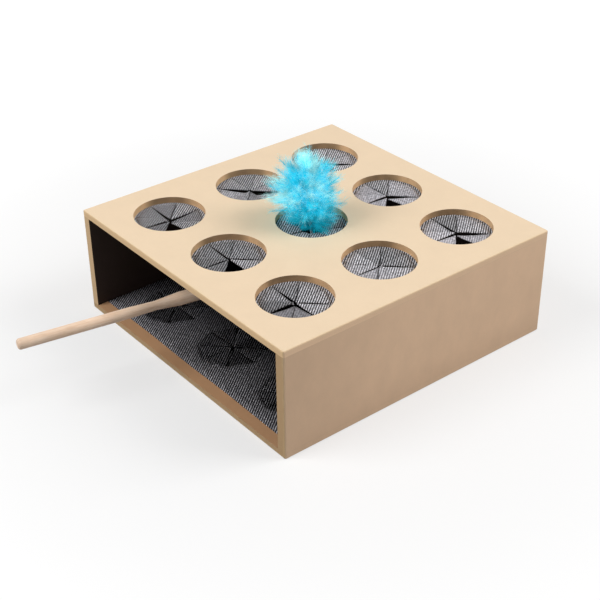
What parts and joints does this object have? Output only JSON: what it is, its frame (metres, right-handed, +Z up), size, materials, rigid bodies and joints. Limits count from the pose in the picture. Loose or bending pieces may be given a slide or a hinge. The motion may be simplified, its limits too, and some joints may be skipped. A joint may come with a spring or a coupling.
{
  "type": "cat puzzle game",
  "caption": "Low open-fronted box with round play holes backed by star-slit cloth flaps, and a feather wand that pokes up through the middle hole.",
  "frame": {"origin": "centre of the box's underside, on the surface that it stands on", "axes": "+Z up; the open front looks along -Y; +X is on the right of someone who looks in from the front"},
  "size_m": [0.25, 0.3557, 0.1517],
  "materials": {
    "board": "raw fine fibreboard, pale matt face and darker cut edges",
    "cloth": "black woven cloth with fine silver-grey diagonal stripes",
    "dowel": "smooth pale hardwood, fine straight grain",
    "wire": "drawn spring wire, dull shine",
    "feathers": "dyed down feathers, bright cyan with paler wisps and a darker root"
  },
  "bodies": {
    "box": {"top_panel": "board", "bottom_panel": "board", "left_wall": "board", "right_wall": "board", "back_wall": "board", "top_cloth": "cloth", "bottom_cloth": "cloth"},
    "wand": {"wand_dowel": "dowel", "stem_lower": "wire"},
    "plume": {"stem_upper": "wire", "feather_plume": "feathers"},
    "flap_left_front_1": {"flap_left_front_1": "cloth"},
    "flap_left_front_2": {"flap_left_front_2": "cloth"},
    "flap_left_front_3": {"flap_left_front_3": "cloth"},
    "flap_left_front_4": {"flap_left_front_4": "cloth"},
    "flap_left_front_5": {"flap_left_front_5": "cloth"},
    "flap_left_front_6": {"flap_left_front_6": "cloth"},
    "flap_left_front_7": {"flap_left_front_7": "cloth"},
    "flap_left_front_8": {"flap_left_front_8": "cloth"},
    "flap_left_middle_1": {"flap_left_middle_1": "cloth"},
    "flap_left_middle_2": {"flap_left_middle_2": "cloth"},
    "flap_left_middle_3": {"flap_left_middle_3": "cloth"},
    "flap_left_middle_4": {"flap_left_middle_4": "cloth"},
    "flap_left_middle_5": {"flap_left_middle_5": "cloth"},
    "flap_left_middle_6": {"flap_left_middle_6": "cloth"},
    "flap_left_middle_7": {"flap_left_middle_7": "cloth"},
    "flap_left_middle_8": {"flap_left_middle_8": "cloth"},
    "flap_left_back_1": {"flap_left_back_1": "cloth"},
    "flap_left_back_2": {"flap_left_back_2": "cloth"},
    "flap_left_back_3": {"flap_left_back_3": "cloth"},
    "flap_left_back_4": {"flap_left_back_4": "cloth"},
    "flap_left_back_5": {"flap_left_back_5": "cloth"},
    "flap_left_back_6": {"flap_left_back_6": "cloth"},
    "flap_left_back_7": {"flap_left_back_7": "cloth"},
    "flap_left_back_8": {"flap_left_back_8": "cloth"},
    "flap_right_front_1": {"flap_right_front_1": "cloth"},
    "flap_right_front_2": {"flap_right_front_2": "cloth"},
    "flap_right_front_3": {"flap_right_front_3": "cloth"},
    "flap_right_front_4": {"flap_right_front_4": "cloth"},
    "flap_right_front_5": {"flap_right_front_5": "cloth"},
    "flap_right_front_6": {"flap_right_front_6": "cloth"},
    "flap_right_front_7": {"flap_right_front_7": "cloth"},
    "flap_right_front_8": {"flap_right_front_8": "cloth"},
    "flap_right_middle_1": {"flap_right_middle_1": "cloth"},
    "flap_right_middle_2": {"flap_right_middle_2": "cloth"},
    "flap_right_middle_3": {"flap_right_middle_3": "cloth"},
    "flap_right_middle_4": {"flap_right_middle_4": "cloth"},
    "flap_right_middle_5": {"flap_right_middle_5": "cloth"},
    "flap_right_middle_6": {"flap_right_middle_6": "cloth"},
    "flap_right_middle_7": {"flap_right_middle_7": "cloth"},
    "flap_right_middle_8": {"flap_right_middle_8": "cloth"},
    "flap_right_back_1": {"flap_right_back_1": "cloth"},
    "flap_right_back_2": {"flap_right_back_2": "cloth"},
    "flap_right_back_3": {"flap_right_back_3": "cloth"},
    "flap_right_back_4": {"flap_right_back_4": "cloth"},
    "flap_right_back_5": {"flap_right_back_5": "cloth"},
    "flap_right_back_6": {"flap_right_back_6": "cloth"},
    "flap_right_back_7": {"flap_right_back_7": "cloth"},
    "flap_right_back_8": {"flap_right_back_8": "cloth"}
  },
  "joints": [
    {"name": "wand_lift", "type": "slide", "parent": "box", "child": "wand", "axis": [0, 0, 1], "range_m": [-0.02, 0.015], "deforming": ["feather_plume"]},
    {"name": "plume_sway", "type": "hinge", "parent": "wand", "child": "plume", "pos_m": [0, 0, 0.0787], "axis": [1, 0, 0], "range_deg": [-10, 10], "stiffness_Nm_per_rad": 0.3},
    {"name": "fold_left_front_1", "type": "hinge", "parent": "box", "child": "flap_left_front_1", "pos_m": [-0.0545, -0.06768, 0.0827], "axis": [-0.3827, 0.9239, 0], "range_deg": [-60, 60], "stiffness_Nm_per_rad": 0.0003},
    {"name": "fold_left_front_2", "type": "hinge", "parent": "box", "child": "flap_left_front_2", "pos_m": [-0.06768, -0.0545, 0.0827], "axis": [-0.9239, 0.3827, 0], "range_deg": [-60, 60], "stiffness_Nm_per_rad": 0.0003},
    {"name": "fold_left_front_3", "type": "hinge", "parent": "box", "child": "flap_left_front_3", "pos_m": [-0.08632, -0.0545, 0.0827], "axis": [-0.9239, -0.3827, 0], "range_deg": [-60, 60], "stiffness_Nm_per_rad": 0.0003},
    {"name": "fold_left_front_4", "type": "hinge", "parent": "box", "child": "flap_left_front_4", "pos_m": [-0.0995, -0.06768, 0.0827], "axis": [-0.3827, -0.9239, 0], "range_deg": [-60, 60], "stiffness_Nm_per_rad": 0.0003},
    {"name": "fold_left_front_5", "type": "hinge", "parent": "box", "child": "flap_left_front_5", "pos_m": [-0.0995, -0.08632, 0.0827], "axis": [0.3827, -0.9239, 0], "range_deg": [-60, 60], "stiffness_Nm_per_rad": 0.0003},
    {"name": "fold_left_front_6", "type": "hinge", "parent": "box", "child": "flap_left_front_6", "pos_m": [-0.08632, -0.0995, 0.0827], "axis": [0.9239, -0.3827, 0], "range_deg": [-60, 60], "stiffness_Nm_per_rad": 0.0003},
    {"name": "fold_left_front_7", "type": "hinge", "parent": "box", "child": "flap_left_front_7", "pos_m": [-0.06768, -0.0995, 0.0827], "axis": [0.9239, 0.3827, 0], "range_deg": [-60, 60], "stiffness_Nm_per_rad": 0.0003},
    {"name": "fold_left_front_8", "type": "hinge", "parent": "box", "child": "flap_left_front_8", "pos_m": [-0.0545, -0.08632, 0.0827], "axis": [0.3827, 0.9239, 0], "range_deg": [-60, 60], "stiffness_Nm_per_rad": 0.0003},
    {"name": "fold_left_middle_1", "type": "hinge", "parent": "box", "child": "flap_left_middle_1", "pos_m": [-0.0545, 0.00932, 0.0827], "axis": [-0.3827, 0.9239, 0], "range_deg": [-60, 60], "stiffness_Nm_per_rad": 0.0003},
    {"name": "fold_left_middle_2", "type": "hinge", "parent": "box", "child": "flap_left_middle_2", "pos_m": [-0.06768, 0.0225, 0.0827], "axis": [-0.9239, 0.3827, 0], "range_deg": [-60, 60], "stiffness_Nm_per_rad": 0.0003},
    {"name": "fold_left_middle_3", "type": "hinge", "parent": "box", "child": "flap_left_middle_3", "pos_m": [-0.08632, 0.0225, 0.0827], "axis": [-0.9239, -0.3827, 0], "range_deg": [-60, 60], "stiffness_Nm_per_rad": 0.0003},
    {"name": "fold_left_middle_4", "type": "hinge", "parent": "box", "child": "flap_left_middle_4", "pos_m": [-0.0995, 0.00932, 0.0827], "axis": [-0.3827, -0.9239, 0], "range_deg": [-60, 60], "stiffness_Nm_per_rad": 0.0003},
    {"name": "fold_left_middle_5", "type": "hinge", "parent": "box", "child": "flap_left_middle_5", "pos_m": [-0.0995, -0.00932, 0.0827], "axis": [0.3827, -0.9239, 0], "range_deg": [-60, 60], "stiffness_Nm_per_rad": 0.0003},
    {"name": "fold_left_middle_6", "type": "hinge", "parent": "box", "child": "flap_left_middle_6", "pos_m": [-0.08632, -0.0225, 0.0827], "axis": [0.9239, -0.3827, 0], "range_deg": [-60, 60], "stiffness_Nm_per_rad": 0.0003},
    {"name": "fold_left_middle_7", "type": "hinge", "parent": "box", "child": "flap_left_middle_7", "pos_m": [-0.06768, -0.0225, 0.0827], "axis": [0.9239, 0.3827, 0], "range_deg": [-60, 60], "stiffness_Nm_per_rad": 0.0003},
    {"name": "fold_left_middle_8", "type": "hinge", "parent": "box", "child": "flap_left_middle_8", "pos_m": [-0.0545, -0.00932, 0.0827], "axis": [0.3827, 0.9239, 0], "range_deg": [-60, 60], "stiffness_Nm_per_rad": 0.0003},
    {"name": "fold_left_back_1", "type": "hinge", "parent": "box", "child": "flap_left_back_1", "pos_m": [-0.0545, 0.08632, 0.0827], "axis": [-0.3827, 0.9239, 0], "range_deg": [-60, 60], "stiffness_Nm_per_rad": 0.0003},
    {"name": "fold_left_back_2", "type": "hinge", "parent": "box", "child": "flap_left_back_2", "pos_m": [-0.06768, 0.0995, 0.0827], "axis": [-0.9239, 0.3827, 0], "range_deg": [-60, 60], "stiffness_Nm_per_rad": 0.0003},
    {"name": "fold_left_back_3", "type": "hinge", "parent": "box", "child": "flap_left_back_3", "pos_m": [-0.08632, 0.0995, 0.0827], "axis": [-0.9239, -0.3827, 0], "range_deg": [-60, 60], "stiffness_Nm_per_rad": 0.0003},
    {"name": "fold_left_back_4", "type": "hinge", "parent": "box", "child": "flap_left_back_4", "pos_m": [-0.0995, 0.08632, 0.0827], "axis": [-0.3827, -0.9239, 0], "range_deg": [-60, 60], "stiffness_Nm_per_rad": 0.0003},
    {"name": "fold_left_back_5", "type": "hinge", "parent": "box", "child": "flap_left_back_5", "pos_m": [-0.0995, 0.06768, 0.0827], "axis": [0.3827, -0.9239, 0], "range_deg": [-60, 60], "stiffness_Nm_per_rad": 0.0003},
    {"name": "fold_left_back_6", "type": "hinge", "parent": "box", "child": "flap_left_back_6", "pos_m": [-0.08632, 0.0545, 0.0827], "axis": [0.9239, -0.3827, 0], "range_deg": [-60, 60], "stiffness_Nm_per_rad": 0.0003},
    {"name": "fold_left_back_7", "type": "hinge", "parent": "box", "child": "flap_left_back_7", "pos_m": [-0.06768, 0.0545, 0.0827], "axis": [0.9239, 0.3827, 0], "range_deg": [-60, 60], "stiffness_Nm_per_rad": 0.0003},
    {"name": "fold_left_back_8", "type": "hinge", "parent": "box", "child": "flap_left_back_8", "pos_m": [-0.0545, 0.06768, 0.0827], "axis": [0.3827, 0.9239, 0], "range_deg": [-60, 60], "stiffness_Nm_per_rad": 0.0003},
    {"name": "fold_right_front_1", "type": "hinge", "parent": "box", "child": "flap_right_front_1", "pos_m": [0.0995, -0.06768, 0.0827], "axis": [-0.3827, 0.9239, 0], "range_deg": [-60, 60], "stiffness_Nm_per_rad": 0.0003},
    {"name": "fold_right_front_2", "type": "hinge", "parent": "box", "child": "flap_right_front_2", "pos_m": [0.08632, -0.0545, 0.0827], "axis": [-0.9239, 0.3827, 0], "range_deg": [-60, 60], "stiffness_Nm_per_rad": 0.0003},
    {"name": "fold_right_front_3", "type": "hinge", "parent": "box", "child": "flap_right_front_3", "pos_m": [0.06768, -0.0545, 0.0827], "axis": [-0.9239, -0.3827, 0], "range_deg": [-60, 60], "stiffness_Nm_per_rad": 0.0003},
    {"name": "fold_right_front_4", "type": "hinge", "parent": "box", "child": "flap_right_front_4", "pos_m": [0.0545, -0.06768, 0.0827], "axis": [-0.3827, -0.9239, 0], "range_deg": [-60, 60], "stiffness_Nm_per_rad": 0.0003},
    {"name": "fold_right_front_5", "type": "hinge", "parent": "box", "child": "flap_right_front_5", "pos_m": [0.0545, -0.08632, 0.0827], "axis": [0.3827, -0.9239, 0], "range_deg": [-60, 60], "stiffness_Nm_per_rad": 0.0003},
    {"name": "fold_right_front_6", "type": "hinge", "parent": "box", "child": "flap_right_front_6", "pos_m": [0.06768, -0.0995, 0.0827], "axis": [0.9239, -0.3827, 0], "range_deg": [-60, 60], "stiffness_Nm_per_rad": 0.0003},
    {"name": "fold_right_front_7", "type": "hinge", "parent": "box", "child": "flap_right_front_7", "pos_m": [0.08632, -0.0995, 0.0827], "axis": [0.9239, 0.3827, 0], "range_deg": [-60, 60], "stiffness_Nm_per_rad": 0.0003},
    {"name": "fold_right_front_8", "type": "hinge", "parent": "box", "child": "flap_right_front_8", "pos_m": [0.0995, -0.08632, 0.0827], "axis": [0.3827, 0.9239, 0], "range_deg": [-60, 60], "stiffness_Nm_per_rad": 0.0003},
    {"name": "fold_right_middle_1", "type": "hinge", "parent": "box", "child": "flap_right_middle_1", "pos_m": [0.0995, 0.00932, 0.0827], "axis": [-0.3827, 0.9239, 0], "range_deg": [-60, 60], "stiffness_Nm_per_rad": 0.0003},
    {"name": "fold_right_middle_2", "type": "hinge", "parent": "box", "child": "flap_right_middle_2", "pos_m": [0.08632, 0.0225, 0.0827], "axis": [-0.9239, 0.3827, 0], "range_deg": [-60, 60], "stiffness_Nm_per_rad": 0.0003},
    {"name": "fold_right_middle_3", "type": "hinge", "parent": "box", "child": "flap_right_middle_3", "pos_m": [0.06768, 0.0225, 0.0827], "axis": [-0.9239, -0.3827, 0], "range_deg": [-60, 60], "stiffness_Nm_per_rad": 0.0003},
    {"name": "fold_right_middle_4", "type": "hinge", "parent": "box", "child": "flap_right_middle_4", "pos_m": [0.0545, 0.00932, 0.0827], "axis": [-0.3827, -0.9239, 0], "range_deg": [-60, 60], "stiffness_Nm_per_rad": 0.0003},
    {"name": "fold_right_middle_5", "type": "hinge", "parent": "box", "child": "flap_right_middle_5", "pos_m": [0.0545, -0.00932, 0.0827], "axis": [0.3827, -0.9239, 0], "range_deg": [-60, 60], "stiffness_Nm_per_rad": 0.0003},
    {"name": "fold_right_middle_6", "type": "hinge", "parent": "box", "child": "flap_right_middle_6", "pos_m": [0.06768, -0.0225, 0.0827], "axis": [0.9239, -0.3827, 0], "range_deg": [-60, 60], "stiffness_Nm_per_rad": 0.0003},
    {"name": "fold_right_middle_7", "type": "hinge", "parent": "box", "child": "flap_right_middle_7", "pos_m": [0.08632, -0.0225, 0.0827], "axis": [0.9239, 0.3827, 0], "range_deg": [-60, 60], "stiffness_Nm_per_rad": 0.0003},
    {"name": "fold_right_middle_8", "type": "hinge", "parent": "box", "child": "flap_right_middle_8", "pos_m": [0.0995, -0.00932, 0.0827], "axis": [0.3827, 0.9239, 0], "range_deg": [-60, 60], "stiffness_Nm_per_rad": 0.0003},
    {"name": "fold_right_back_1", "type": "hinge", "parent": "box", "child": "flap_right_back_1", "pos_m": [0.0995, 0.08632, 0.0827], "axis": [-0.3827, 0.9239, 0], "range_deg": [-60, 60], "stiffness_Nm_per_rad": 0.0003},
    {"name": "fold_right_back_2", "type": "hinge", "parent": "box", "child": "flap_right_back_2", "pos_m": [0.08632, 0.0995, 0.0827], "axis": [-0.9239, 0.3827, 0], "range_deg": [-60, 60], "stiffness_Nm_per_rad": 0.0003},
    {"name": "fold_right_back_3", "type": "hinge", "parent": "box", "child": "flap_right_back_3", "pos_m": [0.06768, 0.0995, 0.0827], "axis": [-0.9239, -0.3827, 0], "range_deg": [-60, 60], "stiffness_Nm_per_rad": 0.0003},
    {"name": "fold_right_back_4", "type": "hinge", "parent": "box", "child": "flap_right_back_4", "pos_m": [0.0545, 0.08632, 0.0827], "axis": [-0.3827, -0.9239, 0], "range_deg": [-60, 60], "stiffness_Nm_per_rad": 0.0003},
    {"name": "fold_right_back_5", "type": "hinge", "parent": "box", "child": "flap_right_back_5", "pos_m": [0.0545, 0.06768, 0.0827], "axis": [0.3827, -0.9239, 0], "range_deg": [-60, 60], "stiffness_Nm_per_rad": 0.0003},
    {"name": "fold_right_back_6", "type": "hinge", "parent": "box", "child": "flap_right_back_6", "pos_m": [0.06768, 0.0545, 0.0827], "axis": [0.9239, -0.3827, 0], "range_deg": [-60, 60], "stiffness_Nm_per_rad": 0.0003},
    {"name": "fold_right_back_7", "type": "hinge", "parent": "box", "child": "flap_right_back_7", "pos_m": [0.08632, 0.0545, 0.0827], "axis": [0.9239, 0.3827, 0], "range_deg": [-60, 60], "stiffness_Nm_per_rad": 0.0003},
    {"name": "fold_right_back_8", "type": "hinge", "parent": "box", "child": "flap_right_back_8", "pos_m": [0.0995, 0.06768, 0.0827], "axis": [0.3827, 0.9239, 0], "range_deg": [-60, 60], "stiffness_Nm_per_rad": 0.0003}
  ],
  "couplings": [
    {"joint": "fold_left_front_2", "follows": "fold_left_front_1", "ratio": 1},
    {"joint": "fold_left_front_3", "follows": "fold_left_front_1", "ratio": 1},
    {"joint": "fold_left_front_4", "follows": "fold_left_front_1", "ratio": 1},
    {"joint": "fold_left_front_5", "follows": "fold_left_front_1", "ratio": 1},
    {"joint": "fold_left_front_6", "follows": "fold_left_front_1", "ratio": 1},
    {"joint": "fold_left_front_7", "follows": "fold_left_front_1", "ratio": 1},
    {"joint": "fold_left_front_8", "follows": "fold_left_front_1", "ratio": 1},
    {"joint": "fold_left_middle_2", "follows": "fold_left_middle_1", "ratio": 1},
    {"joint": "fold_left_middle_3", "follows": "fold_left_middle_1", "ratio": 1},
    {"joint": "fold_left_middle_4", "follows": "fold_left_middle_1", "ratio": 1},
    {"joint": "fold_left_middle_5", "follows": "fold_left_middle_1", "ratio": 1},
    {"joint": "fold_left_middle_6", "follows": "fold_left_middle_1", "ratio": 1},
    {"joint": "fold_left_middle_7", "follows": "fold_left_middle_1", "ratio": 1},
    {"joint": "fold_left_middle_8", "follows": "fold_left_middle_1", "ratio": 1},
    {"joint": "fold_left_back_2", "follows": "fold_left_back_1", "ratio": 1},
    {"joint": "fold_left_back_3", "follows": "fold_left_back_1", "ratio": 1},
    {"joint": "fold_left_back_4", "follows": "fold_left_back_1", "ratio": 1},
    {"joint": "fold_left_back_5", "follows": "fold_left_back_1", "ratio": 1},
    {"joint": "fold_left_back_6", "follows": "fold_left_back_1", "ratio": 1},
    {"joint": "fold_left_back_7", "follows": "fold_left_back_1", "ratio": 1},
    {"joint": "fold_left_back_8", "follows": "fold_left_back_1", "ratio": 1},
    {"joint": "fold_right_front_2", "follows": "fold_right_front_1", "ratio": 1},
    {"joint": "fold_right_front_3", "follows": "fold_right_front_1", "ratio": 1},
    {"joint": "fold_right_front_4", "follows": "fold_right_front_1", "ratio": 1},
    {"joint": "fold_right_front_5", "follows": "fold_right_front_1", "ratio": 1},
    {"joint": "fold_right_front_6", "follows": "fold_right_front_1", "ratio": 1},
    {"joint": "fold_right_front_7", "follows": "fold_right_front_1", "ratio": 1},
    {"joint": "fold_right_front_8", "follows": "fold_right_front_1", "ratio": 1},
    {"joint": "fold_right_middle_2", "follows": "fold_right_middle_1", "ratio": 1},
    {"joint": "fold_right_middle_3", "follows": "fold_right_middle_1", "ratio": 1},
    {"joint": "fold_right_middle_4", "follows": "fold_right_middle_1", "ratio": 1},
    {"joint": "fold_right_middle_5", "follows": "fold_right_middle_1", "ratio": 1},
    {"joint": "fold_right_middle_6", "follows": "fold_right_middle_1", "ratio": 1},
    {"joint": "fold_right_middle_7", "follows": "fold_right_middle_1", "ratio": 1},
    {"joint": "fold_right_middle_8", "follows": "fold_right_middle_1", "ratio": 1},
    {"joint": "fold_right_back_2", "follows": "fold_right_back_1", "ratio": 1},
    {"joint": "fold_right_back_3", "follows": "fold_right_back_1", "ratio": 1},
    {"joint": "fold_right_back_4", "follows": "fold_right_back_1", "ratio": 1},
    {"joint": "fold_right_back_5", "follows": "fold_right_back_1", "ratio": 1},
    {"joint": "fold_right_back_6", "follows": "fold_right_back_1", "ratio": 1},
    {"joint": "fold_right_back_7", "follows": "fold_right_back_1", "ratio": 1},
    {"joint": "fold_right_back_8", "follows": "fold_right_back_1", "ratio": 1}
  ]
}
